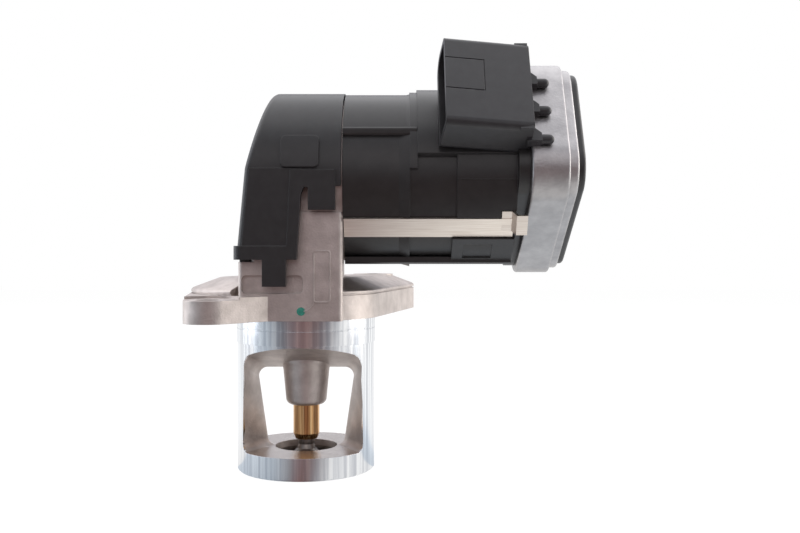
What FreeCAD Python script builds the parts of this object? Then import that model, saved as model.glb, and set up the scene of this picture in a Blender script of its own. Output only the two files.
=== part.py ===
import FreeCAD, Part
import math
import os

V = FreeCAD.Vector

# Frame: +Z up along the valve stem, +X along the motor, +Y away from the connector side.
# The origin is on the stem axis in the underside of the mounting flange. All sizes in mm.

# Fits
running_gap = 0.05
fixed_gap = 0.05
face_gap = 0.3

# Motor axis
motor_axis_z = 50.0

# Spigot and gas cage
spigot_r = 25.4
spigot_length = 55.6
register_depth = 9.0
spigot_relief = 0.4
spigot_chamfer = 0.6
groove_z = -3.7
groove_width = 0.5
groove_depth = 0.2
window_roof_z = -18.8
window_roof_slope = 0.372
cage_floor_t = 8.0
window_floor_z = cage_floor_t - spigot_length
window_half_roof = 18.0
window_half_floor = 13.8
window_edge_half = 21.7
window_corner_r = 3.2
boss_top_r = 9.6
boss_neck_r = 8.5
boss_end_r = 7.5
boss_neck_z = -19.4
boss_end_z = -32.4
boss_nose = 2.4
boss_root = 9.0
boss_flare_z = 3.0
boss_flare_mid_z = 1.2
boss_flare_mid = 0.3

# Seat and poppet
seat_bore_r = 11.4
seat_floor = 2.4
seat_ring_r = 14.0
seat_ring_height = 2.6
seat_chamfer = 1.5
seat_gap = 0.12
recess_r = 19.0
disc_rim = 0.9
disc_crown = 0.5
tulip_height = 4.2
stem_r = 2.9
tulip_edge = 1.4
stem_top_z = 42.6

# Stem guide, seal and spring
guide_r = 4.8
guide_end_lift = 2.6
guide_end_z = window_floor_z + guide_end_lift
guide_top_z = 6.0
guide_taper = 2.0
guide_taper_r = 4.0
chamber_floor_z = 8.0
chamber_r = 11.4
seal_r = 7.0
seal_height = 3.2
spring_coil_r = 8.8
spring_wire_r = 1.1
spring_turns = 5
spring_seat_t = 1.0
spring_seat_inner_r = 7.4
spring_seat_r = 10.9
retainer_z = 31.0
retainer_t = 2.2
retainer_r = 10.6
retainer_hub_r = 6.0
retainer_hub_height = 4.0
collet_r = 4.2
collet_gap = 0.6
hub_below = 1.5
lip_t = 1.2
lip_root = 1.4

# Mounting flange: an ear at the near bolt, a round plateau and a wide ear at the far bolt
near_bolt_x = -29.4
near_bolt_y = -35.0
far_bolt_x = 23.1
far_bolt_y = 55.0
bolt_hole_r = 4.25
near_ear_r = 8.4
spot_face_r = 10.6
spot_face_z = 7.7
far_ear_r = 11.0
far_ear_half = 6.3
far_boss_r = 8.4
far_boss_z = 14.3
flange_waist_r = 26.5
flange_t = 8.6
rim_groove_t = 0.6
rim_groove_depth = 0.7
rim_wall = 0.7
rim_edge = 0.7
plateau_x = -2.35
plateau_y = 10.0
plateau_r = 41.5
plateau_slope = 10.4
plateau_top_z = 14.2

# Drive cover
cover_r = 31.7
cover_wall = 2.2
cover_x0 = -21.9
cover_x1 = 14.6
cover_lip_z0 = 21.1
cover_lip_z1 = 25.8
cover_low_x = -20.6
cover_mid_x = -18.1
cover_mid_z = 52.2
cover_top_x = -10.8
cover_edge_r = 2.4
lip_proud = 0.9
lip_corner_r = 3.0
panel_proud = 0.5
panel_inset = 1.7
panel_z1 = 52.1
bridge_proud = 0.9
bridge_low_x = -3.9
bridge_top_x = -2.5
bridge_z1 = 51.6
notch_low_x = -0.3
notch_mid_x = 1.15
notch_mid_z = 43.2
notch_top_x = 2.1
notch_z1 = 45.6
ear_x0 = 3.55
ear_x1 = 12.7
ear_z0 = 38.0
back_edge_z = 46.1
latch_x0 = -11.9
latch_x1 = -3.9
latch_z = 12.0
latch_t = 2.4
bump_x0 = -5.8
bump_x1 = 7.2
bump_z0 = 52.4
bump_z1 = 63.4
bump_proud = 1.1
bump_corner_r = 1.8
gasket_t = 0.8
gasket_edge = 0.4
gasket_side = 0.1

# Valve tower
tower_step = 1.5
tower_x0 = -20.8
tower_x1 = 15.0
tower_half_y = cover_r - cover_wall - tower_step
tower_corner_r = 1.6
tower_draft = 2.6
ledge_z = 20.3
tower_neck_x0 = -16.6
shoulder_z = 37.4
setback_x0 = -2.0
setback_low = 0.8
setback_low_z = 41.5
setback_high = 1.4
setback_high_z = 46.3
setback_t = 3.0
pocket_x0 = -19.5
pocket_x1 = 1.35
pocket_z0 = 9.5
pocket_z1 = 15.7
pocket_depth = 1.6
pocket_corner_r = 1.5
pad_x0 = 4.9
pad_x1 = 10.9
pad_z0 = 6.3
pad_z1 = 24.3
pad_corner_r = 1.2
pad_line = 0.5
pad_height = 0.35
curl_r = 4.4

# Motor housing and the drawn can inside it
housing_step = 1.1
housing_r = cover_r - housing_step
housing_x1 = 74.4
housing_left_x = 15.0
can_step = 2.6
can_r = housing_r - can_step
can_wall = 1.6
can_fit = 0.1
can_x1 = 74.0
crown_step = 0.7
crown_r = housing_r + crown_step
crown_x1 = 40.0
crown_low = 15.5
crown_back_y = 14.0
rail_x1 = 40.4
rail_y = 28.6
rail_t = 3.6
rail_z0 = 63.4
rail_z1 = 66.4
rail_corner_r = 0.9
rib_x0 = 38.0
rib_x1 = 40.6
rib_step = 1.6
rib_low = 2.0
band_x0 = 34.2
band_step = 1.0
saddle_step = 2.5
saddle_r = housing_r + saddle_step
saddle_x0 = 40.6
saddle_low = -10.0
saddle_high = 27.5
neck_inset = 2.6
lower_pad_x0 = 54.0
lower_pad_high = 6.6
lower_pad_mid = -1.6
lower_pad_step = 1.5
lower_pad_thin = 1.1
foot_rail_half = 14.2
foot_rail_z0 = 19.4
foot_rail_t = 2.6
clip_x0 = 52.7
clip_x1 = 74.0
clip_angle = 54.7
clip_half_width = 7.7
clip_t = 1.3
clip_root = 3.0
clip_window_x0 = 56.6
clip_window_x1 = 66.6
clip_window_half = 4.1
clip_window_depth = 0.4
clip_wedge_share = 0.6
wedge_x1 = 62.5

# Motor plate, the round wall of the casting that carries the motor
plate_gap = 0.2
plate_x0 = 9.0
plate_r = cover_r - cover_wall - plate_gap
register_r = can_r - can_wall - can_fit
register_wall = 2.0
register_t = 2.5

# End cap, a rounded rectangle turned about the motor axis
facet_tilt = 30.0
cap_x0 = 78.4
cap_x1 = 91.2
cap_rim_x1 = 94.4
cap_step = 5.9
cap_half_length = housing_r + cap_step
cap_edge = 0.9
cap_above = 31.0
cap_below = 24.0
cap_corner_r = 13.4
cap_rim_inset = 1.8
cap_front_wall = 2.4
lid_x1 = 96.9
lid_inset = 3.4
lid_plug = 2.0
lid_plug_wall = 1.5
lid_fillet = 1.2
lid_seal_r = 0.8
board_x0 = 89.0
board_t = 1.6
chip_half = 3.5
chip_t = 1.2

# Connector
plug_tilt = 7.5
plug_x1 = 77.6
plug_length = 29.2
plug_step = 6.9
plug_v = housing_r + plug_step
plug_half_t = 7.75
plug_low = -10.0
plug_high = 26.5
plug_corner_r = 2.4
plug_back_r = 6.5
plug_wall = 1.9
plug_depth = 22.0
fin_count = 3
fin_first = -9.3
fin_pitch = 11.9
fin_half = 1.6
fin_rise = 4.5
fin_root = 1.0
bridge_x0 = 73.8
bridge_x1 = 78.2
bridge_root = 2.5
bridge_end = 7.5
key_groove = 0.35
key_groove_depth = 0.3
key_groove_x = 13.4
key_groove_low = 3.9
key_groove_high = 17.2
peg_x = 84.1
peg_r = 1.65
peg_length = 2.6
peg_root = 1.5
pin_count = 5
pin_pitch = 5.2
pin_width = 0.8
pin_height = 0.64
pin_length = 16.0
pin_root = 4.0

# Retaining straps
strap_angle = 35.0
hook_turn = 5.0
hook_root = 4.0
strap_width = 7.4
strap_t = 0.9
strap_x0 = 15.3
strap_x1 = 73.4
hook_rise = 3.2
hook_bend = 0.3
hook_x1 = 77.9

# Rotor
shaft_r = 4.0
crank_r = 9.0
crank_x0 = 5.4
crank_x1 = 8.6
crank_throw = 4.0
crank_web = 1.0
crank_rest_angle = 135.0
crank_pin_r = 2.2
crank_pin_x0 = -6.3
roller_r = 4.0
roller_half = 4.7
clip_ring_r = 3.4
clip_ring_t = 0.7
clip_mouth = 1.0
shaft_x1 = 83.0
bush_r = 8.0
rear_bush_x0 = 70.6
rear_bush_x1 = 76.4
collar_t = 2.0
bush_clear = 3.0
magnet_r = can_r - can_wall - can_fit
magnet_t = 3.8
magnet_x0 = 33.0
magnet_x1 = 64.0
magnet_span = 140.0
air_gap = 0.7
core_r = magnet_r - magnet_t - air_gap
core_x0 = 32.0
core_x1 = 65.0
core_slots = 8
slot_width = 5.0
slot_mouth = 1.8
slot_inner_r = 9.5
slot_land = 2.8
slot_outer_r = core_r - slot_land
turn_length = 4.6
turn_round = 2.0
turn_clear = 2.5
turn_overlap = 0.5
commutator_r = 8.5
commutator_x0 = 17.2
commutator_x1 = 26.4
commutator_bars = 8
bar_gap = 0.5
bar_depth = 1.0
riser_t = 1.5
brush_x0 = 19.4
brush_x1 = 24.6
brush_half = 2.6
brush_length = 8.5
holder_t = 1.9
holder_bore_r = 10.5
holder_wall = 1.2
magnet_disc_r = 6.0
magnet_disc_t = 3.4

# Stem yoke
yoke_half_x = 4.7
yoke_half_y = 11.0
yoke_bottom_z = 43.4
yoke_top_z = 61.6
yoke_hub_r = 5.0
yoke_hub_z = 37.8
yoke_corner_r = 2.5
slot_half_y = 8.7
slot_gap = 0.2
slot_corner_r = 1.0

# Screws that hold the brush holder to the casting
screw_inset = 5.7
screw_circle_r = register_r - screw_inset
screw_r = 1.6
screw_head_r = 2.8
screw_head_t = 1.8
screw_depth = 5.0
screw_count = 3


def cyl_z(r, z0, z1, x=0.0, y=0.0):
    return Part.makeCylinder(r, z1 - z0, V(x, y, z0))


def cyl_x(r, x0, x1, y=0.0, z=motor_axis_z):
    return Part.makeCylinder(r, x1 - x0, V(x0, y, z), V(1, 0, 0))


def tube_x(outer, inner, x0, x1):
    return cyl_x(outer, x0, x1).cut(cyl_x(inner, x0, x1))


def block(x0, x1, y0, y1, z0, z1):
    return Part.makeBox(x1 - x0, y1 - y0, z1 - z0, V(x0, y0, z0))


def flat_face(corners):
    return Part.Face(Part.makePolygon(corners + [corners[0]]))


def turned(profile):
    """Solid of revolution about the stem axis from (radius, z) points."""
    return flat_face([V(r, 0, z) for r, z in profile]).revolve(V(0, 0, 0), V(0, 0, 1), 360)


def fused(solids):
    whole = solids[0]
    for solid in solids[1:]:
        whole = whole.fuse(solid)
    return whole.removeSplitter()


def rounded_wire(corners, *radii):
    """Closed flat wire through the corners, rounded with one radius or with a radius for each corner."""
    arcs = []
    for i, corner in enumerate(corners):
        radius = radii[i % len(radii)]
        before = (corners[i - 1] - corner).normalize()
        after = (corners[(i + 1) % len(corners)] - corner).normalize()
        half = before.getAngle(after) / 2
        back = radius / math.tan(half)
        centre = corner + (before + after).normalize() * (radius / math.sin(half))
        middle = centre + (corner - centre).normalize() * radius
        arcs.append((corner + before * back, middle, corner + after * back))
    edges = []
    for i, (start, middle, end) in enumerate(arcs):
        edges.append(Part.Arc(start, middle, end).toShape())
        edges.append(Part.makeLine(end, arcs[(i + 1) % len(arcs)][0]))
    return Part.Wire(edges)


def rounded_bar_x(x0, x1, y0, y1, z0, z1, *radii):
    """Bar along X with rounded long edges."""
    corners = [V(x0, y0, z0), V(x0, y1, z0), V(x0, y1, z1), V(x0, y0, z1)]
    return Part.Face(rounded_wire(corners, *radii)).extrude(V(x1 - x0, 0, 0))


def rounded_post_z(x0, x1, y0, y1, z0, z1, radius):
    """Post along Z with rounded upright edges."""
    corners = [V(x0, y0, z0), V(x1, y0, z0), V(x1, y1, z0), V(x0, y1, z0)]
    return Part.Face(rounded_wire(corners, radius)).extrude(V(0, 0, z1 - z0))


def rounded_plate_y(x0, x1, z0, z1, y0, y1, radius):
    """Plate across Y with rounded corners."""
    corners = [V(x0, y0, z0), V(x1, y0, z0), V(x1, y0, z1), V(x0, y0, z1)]
    return Part.Face(rounded_wire(corners, radius)).extrude(V(0, y1 - y0, 0))


def about_motor(shape, degrees):
    """The shape turned about the motor axis; positive lifts the front side."""
    turned_shape = shape.copy()
    turned_shape.rotate(V(0, 0, motor_axis_z), V(1, 0, 0), -degrees)
    return turned_shape


def facet_bar(x0, x1, half_length, below, above, radius):
    """Rounded bar about the motor axis, its length pointing up to the front at the facet tilt."""
    upright = rounded_bar_x(x0, x1, -half_length, half_length,
                            motor_axis_z - below, motor_axis_z + above, radius)
    return about_motor(upright, facet_tilt)


def window_half(depth, z):
    """Half width of a cage window at this depth from the middle and this height."""
    share = (window_roof_z - z) / (window_roof_z - window_floor_z)
    middle = window_half_roof + (window_half_floor - window_half_roof) * share
    edge_depth = math.sqrt(spigot_r ** 2 - window_edge_half ** 2)
    return middle + (window_edge_half - middle) * depth / edge_depth


def window_wire(side, depth):
    roof = window_roof_z + window_roof_slope * depth
    y = side * depth
    corners = [
        V(-window_half(depth, window_floor_z), y, window_floor_z),
        V(window_half(depth, window_floor_z), y, window_floor_z),
        V(window_half(depth, roof), y, roof),
        V(-window_half(depth, roof), y, roof),
    ]
    return rounded_wire(corners, window_corner_r)


def cage_window(side):
    """Drafted core that leaves one window of the cage, from the middle plane outwards."""
    return Part.makeLoft([window_wire(side, 0.0), window_wire(side, spigot_r + 1.0)], True, True)


def spigot():
    """Caged spigot under a plain register ring, the cage relieved so that only the ring locates."""
    low = groove_z - groove_width / 2
    high = groove_z + groove_width / 2
    cage_r = spigot_r - spigot_relief
    body = turned([
        (0, 0), (0, -spigot_length), (cage_r - spigot_chamfer, -spigot_length),
        (cage_r, spigot_chamfer - spigot_length), (cage_r, -register_depth), (spigot_r, -register_depth),
        (spigot_r, low), (spigot_r - groove_depth, low), (spigot_r - groove_depth, high), (spigot_r, high),
        (spigot_r, 0),
    ])
    for side in (-1, 1):
        body = body.cut(cage_window(side))
    return body


def guide_boss():
    """Cast boss round the stem guide, wide at its root and rounded at its nose."""
    root = V(0, 0, window_roof_z + boss_root)
    flare = V(boss_top_r, 0, boss_neck_z + boss_flare_z)
    neck = V(boss_neck_r, 0, boss_neck_z)
    nose_start = V(boss_end_r, 0, boss_end_z + boss_nose)
    nose_end = V(boss_end_r - boss_nose, 0, boss_end_z)
    nose_bulge = boss_nose * (1 - math.sqrt(0.5))
    nose_middle = V(boss_end_r - nose_bulge, 0, boss_end_z + nose_bulge)
    edges = [
        Part.makeLine(root, V(boss_top_r, 0, root.z)),
        Part.makeLine(V(boss_top_r, 0, root.z), flare),
        Part.Arc(flare, neck + V(boss_flare_mid, 0, boss_flare_mid_z), neck).toShape(),
        Part.makeLine(neck, nose_start),
        Part.Arc(nose_start, nose_middle, nose_end).toShape(),
        Part.makeLine(nose_end, V(0, 0, boss_end_z)),
        Part.makeLine(V(0, 0, boss_end_z), root),
    ]
    return Part.Face(Part.Wire(edges)).revolve(V(0, 0, 0), V(0, 0, 1), 360)


def seat_cuts():
    """Gas bore through the cage floor, pocket of the seat ring and recess of the disc."""
    ring_top = window_floor_z - seat_floor
    ring_bottom = ring_top - seat_ring_height
    bore = cyl_z(seat_bore_r, ring_top - 1.0, window_floor_z + 1.0)
    pocket = cyl_z(seat_ring_r + fixed_gap, ring_bottom - 1.0, ring_top)
    recess = cyl_z(recess_r, -spigot_length - 1.0, ring_bottom)
    return [bore, pocket, recess]


def hull_wire(circles, z):
    """Wire drawn tight round the outside of circles (x, y, r), listed anticlockwise."""
    normals = []
    for i, (x, y, r) in enumerate(circles):
        next_x, next_y, next_r = circles[(i + 1) % len(circles)]
        along = V(next_x - x, next_y - y, 0)
        normals.append(math.atan2(along.y, along.x) - math.pi / 2 + math.asin((r - next_r) / along.Length))
    edges = []
    for i, (x, y, r) in enumerate(circles):
        next_x, next_y, next_r = circles[(i + 1) % len(circles)]
        start = normals[i - 1]
        turn = (normals[i] - start) % (2 * math.pi)
        angles = (start, start + turn / 2, start + turn)
        points = [V(x + r * math.cos(a), y + r * math.sin(a), z) for a in angles]
        edges.append(Part.Arc(*points).toShape())
        end = V(next_x + next_r * math.cos(normals[i]), next_y + next_r * math.sin(normals[i]), z)
        edges.append(Part.makeLine(points[2], end))
    return Part.Wire(edges)


def flange_layer(z0, inset0, z1, inset1):
    """One level of the flange, its outline drawn in by the two insets at bottom and top."""
    circles = [
        (0, 0, flange_waist_r),
        (far_bolt_x + far_ear_half, far_bolt_y, far_ear_r),
        (far_bolt_x - far_ear_half, far_bolt_y, far_ear_r),
    ]
    wires = []
    for z, inset in ((z0, inset0), (z1, inset1)):
        wires.append(hull_wire([(x, y, r - inset) for x, y, r in circles], z))
    solids = [Part.makeLoft(wires, True, True)]
    r0 = plateau_r - inset0
    r1 = plateau_r - inset1
    middle = V(plateau_x, plateau_y, z0)
    if inset0 == inset1:
        disc = Part.makeCylinder(r0, z1 - z0, middle)
    else:
        disc = Part.makeCone(r0, r1, z1 - z0, middle)
    along = V(far_bolt_x - near_bolt_x, far_bolt_y - near_bolt_y, 0)
    back = V(-along.y, along.x, 0)
    start = V(near_bolt_x, near_bolt_y, z0)
    half = flat_face([start, start + along, start + along + back, start + back]).extrude(V(0, 0, z1 - z0))
    solids.append(disc.common(half))
    return fused(solids)


def near_ear():
    """Ear at the near bolt with the web that runs into the front of the tower."""
    ear = cyl_z(near_ear_r, 0.0, flange_t, near_bolt_x, near_bolt_y)
    along = V(near_bolt_x - plateau_x, near_bolt_y - plateau_y, 0)
    lean = math.atan2(along.y, along.x) - math.pi / 2 + math.asin((plateau_r - near_ear_r) / along.Length)
    outward = V(math.cos(lean), math.sin(lean), 0)
    centre = V(near_bolt_x, near_bolt_y, 0)
    plateau_centre = V(plateau_x, plateau_y, 0)
    front = centre + V(1, -1, 0).normalize() * near_ear_r
    run = -tower_half_y - front.y
    corners = [centre + outward * near_ear_r, plateau_centre + outward * plateau_r, plateau_centre,
               front + V(run, run, 0), front]
    return ear.fuse(flat_face(corners[::-1]).extrude(V(0, 0, flange_t)))


def flange():
    """Flange plate with the grooved rim and the low dome of its plateau."""
    neck_z = flange_t + rim_groove_t
    edge_z = neck_z + rim_wall
    rim_z = edge_z + rim_edge
    body = fused([
        flange_layer(0.0, 0.0, flange_t, 0.0),
        near_ear(),
        flange_layer(flange_t, rim_groove_depth, neck_z, rim_groove_depth),
        flange_layer(neck_z, 0.0, edge_z, 0.0),
        flange_layer(edge_z, 0.0, rim_z, rim_edge),
        flange_layer(rim_z, rim_edge, plateau_top_z, plateau_slope),
        cyl_z(far_boss_r, flange_t, far_boss_z, far_bolt_x, far_bolt_y),
    ])
    top = far_boss_z + 1.0
    body = body.cut(cyl_z(spot_face_r, spot_face_z, top, near_bolt_x, near_bolt_y))
    body = body.cut(cyl_z(bolt_hole_r, -1.0, top, near_bolt_x, near_bolt_y))
    return body.cut(cyl_z(bolt_hole_r, -1.0, top, far_bolt_x, far_bolt_y))


def tower():
    """Upright part of the casting under the drive cover, with its pocket and raised pad."""
    lower = rounded_post_z(tower_x0, tower_x1, -tower_half_y, tower_half_y, 0.0, ledge_z, tower_corner_r)
    upper = rounded_post_z(tower_neck_x0, tower_x1, -tower_half_y, tower_half_y, 0.0, shoulder_z,
                           tower_corner_r)
    body = lower.fuse(upper)
    front = -tower_half_y
    draft = flat_face([V(tower_x1, front, 0), V(tower_x1 + 1.0, tower_half_y, 0),
                       V(tower_x1 - tower_draft, tower_half_y, 0)])
    body = body.cut(draft.extrude(V(0, 0, shoulder_z)))
    pocket = rounded_plate_y(pocket_x0, pocket_x1, pocket_z0, pocket_z1, front - 1.0, front + pocket_depth,
                             pocket_corner_r)
    outer = rounded_plate_y(pad_x0, pad_x1, pad_z0, pad_z1, front - pad_height, front, pad_corner_r)
    inner = rounded_plate_y(pad_x0 + pad_line, pad_x1 - pad_line, pad_z0 + pad_line, pad_z1 - pad_line,
                            front - pad_height, front, pad_corner_r - pad_line)
    return fused([body.cut(pocket), outer.cut(inner), pad_curl()])


def pad_curl():
    """Raised line that curls away from the foot of the pad."""
    front = -tower_half_y
    x = pad_x0 + pad_line - curl_r
    z = pad_z0 + pad_corner_r
    centre = V(x, front - pad_height, z)
    outer = Part.makeCylinder(curl_r, pad_height, centre, V(0, 1, 0))
    inner = Part.makeCylinder(curl_r - pad_line, pad_height, centre, V(0, 1, 0))
    return outer.cut(inner).common(block(x, x + curl_r, front - pad_height, front, z - curl_r, z))


def setback_walls():
    """Stepped walls above the shoulder, set back behind the ears of the drive cover."""
    solids = []
    for side in (-1, 1):
        for setback, top in ((setback_low, setback_low_z), (setback_high, setback_high_z)):
            outer = side * (tower_half_y - setback)
            inner = side * (tower_half_y - setback_high - setback_t)
            solids.append(block(setback_x0, tower_x1, min(outer, inner), max(outer, inner), ledge_z, top))
    return solids


def motor_plate():
    """Round wall that carries the motor, with the register ring that centres the motor can."""
    wall = cyl_x(plate_r, plate_x0, tower_x1)
    register = tube_x(register_r, register_r - register_wall, tower_x1, tower_x1 + register_t)
    return wall.fuse(register)


def valve_housing():
    body = fused([spigot(), guide_boss(), flange(), tower(), motor_plate()] + setback_walls())
    for tool in seat_cuts():
        body = body.cut(tool)
    body = body.cut(cyl_z(guide_r + fixed_gap, boss_end_z - 1.0, guide_top_z))
    body = body.cut(cyl_z(seal_r + fixed_gap, guide_top_z, chamber_floor_z))
    body = body.cut(cyl_z(chamber_r, chamber_floor_z, shoulder_z))
    body = body.cut(cyl_x(bush_r + fixed_gap, plate_x0 - 1.0, tower_x1 + 1.0))
    for x, y, z in screw_places():
        body = body.cut(cyl_x(screw_r + fixed_gap, tower_x1 - screw_depth, tower_x1, y, z))
    return body


def seat_ring():
    top = window_floor_z - seat_floor
    bottom = top - seat_ring_height
    return turned([
        (seat_bore_r, top), (seat_ring_r, top), (seat_ring_r, bottom),
        (seat_bore_r + seat_chamfer, bottom), (seat_bore_r, bottom + seat_chamfer),
    ])


def stem_guide():
    bore = stem_r + running_gap
    return turned([
        (bore, guide_top_z), (guide_r, guide_top_z), (guide_r, guide_end_z + guide_taper),
        (guide_taper_r, guide_end_z), (bore, guide_end_z),
    ])


def stem_seal():
    """Lip seal on top of the guide."""
    top = guide_top_z + seal_height
    bore = stem_r + running_gap
    lip = bore + lip_t
    return turned([
        (bore, guide_top_z), (seal_r, guide_top_z), (seal_r, chamber_floor_z),
        (lip + lip_root, chamber_floor_z), (lip, top), (bore, top),
    ])


def spring_seat():
    top = chamber_floor_z + spring_seat_t
    return cyl_z(spring_seat_r, chamber_floor_z, top).cut(cyl_z(spring_seat_inner_r, chamber_floor_z, top))


def return_spring():
    """Compression coil between its seat and the retainer on the stem."""
    low = chamber_floor_z + spring_seat_t + spring_wire_r
    high = retainer_z - spring_wire_r
    pitch = (high - low) / spring_turns
    path = Part.makeHelix(pitch, high - low, spring_coil_r)
    path.translate(V(0, 0, low))
    ring = Part.Wire(Part.makeCircle(spring_wire_r, V(spring_coil_r, 0, low), V(0, 1, 0)))
    return Part.Wire(path).makePipeShell([ring], True, True)


def poppet_valve():
    """Stem and tulip disc in one turned piece, closed against the seat from below."""
    seat_top = window_floor_z - seat_floor - seat_ring_height + seat_chamfer - seat_gap
    cone_r = seat_bore_r + seat_chamfer
    bottom = seat_top - seat_chamfer - disc_rim
    tulip = []
    for share in (0.25, 0.5, 0.75, 1.0):
        reach = (seat_bore_r - tulip_edge - stem_r) * (1 - math.cos(share * math.pi / 2))
        tulip.append((stem_r + reach, seat_top + tulip_height * (1 - math.sin(share * math.pi / 2))))
    face = flat_face([V(r, 0, z) for r, z in [
        (0, stem_top_z), (stem_r, stem_top_z), (stem_r, seat_top + tulip_height)] + tulip + [
        (seat_bore_r, seat_top), (cone_r, seat_top - seat_chamfer),
        (cone_r, bottom), (0, bottom - disc_crown),
    ]])
    return face.revolve(V(0, 0, 0), V(0, 0, 1), 360)


def spring_retainer():
    top = retainer_z + retainer_t
    low = retainer_z - hub_below
    outer = [(collet_r + fixed_gap, low), (retainer_hub_r, low),
             (retainer_hub_r, retainer_z), (retainer_r, retainer_z), (retainer_r, top),
             (retainer_hub_r, top), (retainer_hub_r, retainer_z + retainer_hub_height),
             (collet_r + fixed_gap, retainer_z + retainer_hub_height)]
    return turned(outer)


def stem_collets():
    """Two half shells between the stem and the retainer."""
    top = retainer_z + retainer_hub_height
    low = retainer_z - hub_below
    ring = cyl_z(collet_r, low, top).cut(cyl_z(stem_r + fixed_gap, low, top))
    split = block(-collet_r, collet_r, -collet_gap / 2, collet_gap / 2, low, top)
    return ring.cut(split)


def crank_place():
    angle = math.radians(crank_rest_angle)
    return crank_throw * math.cos(angle), motor_axis_z + crank_throw * math.sin(angle)


def stem_yoke():
    """Slotted block on the stem's end that the crank roller drives up and down."""
    slot_z = crank_place()[1]
    slot_half_z = roller_r + slot_gap
    plate = rounded_bar_x(-yoke_half_x, yoke_half_x, -yoke_half_y, yoke_half_y, yoke_bottom_z, yoke_top_z,
                          yoke_corner_r)
    hub = cyl_z(yoke_hub_r, yoke_hub_z, yoke_bottom_z + 1.0)
    body = plate.fuse(hub).removeSplitter()
    slot = rounded_bar_x(-yoke_half_x, yoke_half_x, -slot_half_y, slot_half_y,
                         slot_z - slot_half_z, slot_z + slot_half_z, slot_corner_r)
    bore = cyl_z(stem_r + fixed_gap, yoke_hub_z - 1.0, stem_top_z)
    return body.cut(slot).cut(bore)


def crank():
    """Disc on the shaft's end with the eccentric pin that carries the roller."""
    y, z = crank_place()
    disc = cyl_x(crank_r, crank_x0, crank_x1)
    pin = cyl_x(crank_pin_r, crank_pin_x0, crank_x0, y, z)
    return disc.fuse(pin).cut(cyl_x(shaft_r + fixed_gap, crank_x0 + crank_web, crank_x1)).removeSplitter()


def drive_roller():
    y, z = crank_place()
    outer = cyl_x(roller_r, -roller_half, roller_half, y, z)
    return outer.cut(cyl_x(crank_pin_r + running_gap, -roller_half, roller_half, y, z))


def roller_clip():
    y, z = crank_place()
    x1 = -roller_half - face_gap
    ring = cyl_x(clip_ring_r, x1 - clip_ring_t, x1, y, z)
    ring = ring.cut(cyl_x(crank_pin_r + fixed_gap, x1 - clip_ring_t, x1, y, z))
    return ring.cut(block(x1 - clip_ring_t, x1, y - clip_mouth, y + clip_mouth, z, z + clip_ring_r))


def motor_shaft():
    return cyl_x(shaft_r, crank_x0 + crank_web, shaft_x1)


def bush(x0, x1):
    return tube_x(bush_r, shaft_r + running_gap, x0, x1)


def armature_core():
    """Laminated stack with radial slots under narrow mouths."""
    body = cyl_x(core_r, core_x0, core_x1)
    for i in range(core_slots):
        body = body.cut(about_motor(winding_slot(slot_width / 2, slot_outer_r), 360.0 * i / core_slots))
        body = body.cut(about_motor(winding_slot(slot_mouth / 2, core_r + 1.0), 360.0 * i / core_slots))
    return body.cut(cyl_x(shaft_r + fixed_gap, core_x0, core_x1))


def winding_slot(half, outer):
    return block(core_x0, core_x1, -half, half, motor_axis_z + slot_inner_r, motor_axis_z + outer)


def armature_windings():
    """Coil sides in the slots and the round heads at both ends."""
    x0 = core_x0 - turn_length
    x1 = core_x1 + turn_length
    solids = []
    for i in range(core_slots):
        half = slot_width / 2 - fixed_gap
        bar = block(core_x0 - turn_overlap, core_x1 + turn_overlap, -half, half,
                    motor_axis_z + slot_inner_r + fixed_gap,
                    motor_axis_z + slot_outer_r - fixed_gap)
        solids.append(about_motor(bar, 360.0 * i / core_slots))
    for start, end in ((x0, core_x0), (core_x1, x1)):
        head = tube_x(slot_outer_r, shaft_r + turn_clear, start, end)
        outer_edges = [e for e in head.Edges if e.Curve.TypeId == "Part::GeomCircle" and
                       abs(e.Curve.Radius - slot_outer_r) < 0.01]
        far = x0 if start == x0 else x1
        far_edges = [e for e in outer_edges if abs(e.Vertexes[0].X - far) < 0.01]
        solids.append(head.makeFillet(turn_round, far_edges))
    return fused(solids)


def commutator():
    body = tube_x(commutator_r, shaft_r + fixed_gap, commutator_x0, commutator_x1)
    for i in range(commutator_bars):
        groove = block(commutator_x0, commutator_x1 - riser_t, -bar_gap / 2, bar_gap / 2,
                       motor_axis_z + commutator_r - bar_depth, motor_axis_z + commutator_r + 1.0)
        body = body.cut(about_motor(groove, 360.0 * i / commutator_bars))
    return body


def carbon_brushes():
    r0 = commutator_r + running_gap
    r1 = r0 + brush_length
    brush = block(brush_x0, brush_x1, -r1, -r0 + 1.0, motor_axis_z - brush_half, motor_axis_z + brush_half)
    brush = brush.cut(cyl_x(r0, brush_x0, brush_x1))
    return Part.makeCompound([brush, about_motor(brush, 180.0)])


def brush_holder():
    """Ring plate inside the register, with a channel for each brush."""
    holder_x0 = tower_x1
    plate = tube_x(register_r - register_wall - fixed_gap, holder_bore_r, holder_x0, holder_x0 + holder_t)
    for x, y, z in screw_places():
        plate = plate.cut(cyl_x(screw_r + fixed_gap, x, x + holder_t, y, z))
    r1 = commutator_r + running_gap + brush_length
    outer = block(holder_x0, brush_x1 + holder_wall, -r1 - holder_wall, -holder_bore_r - 1.0,
                  motor_axis_z - brush_half - holder_wall, motor_axis_z + brush_half + holder_wall)
    inner = block(brush_x0 - fixed_gap, brush_x1 + fixed_gap, -r1, -commutator_r,
                  motor_axis_z - brush_half - fixed_gap, motor_axis_z + brush_half + fixed_gap)
    channel = outer.cut(inner)
    return fused([plate, channel, about_motor(channel, 180.0)])


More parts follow.
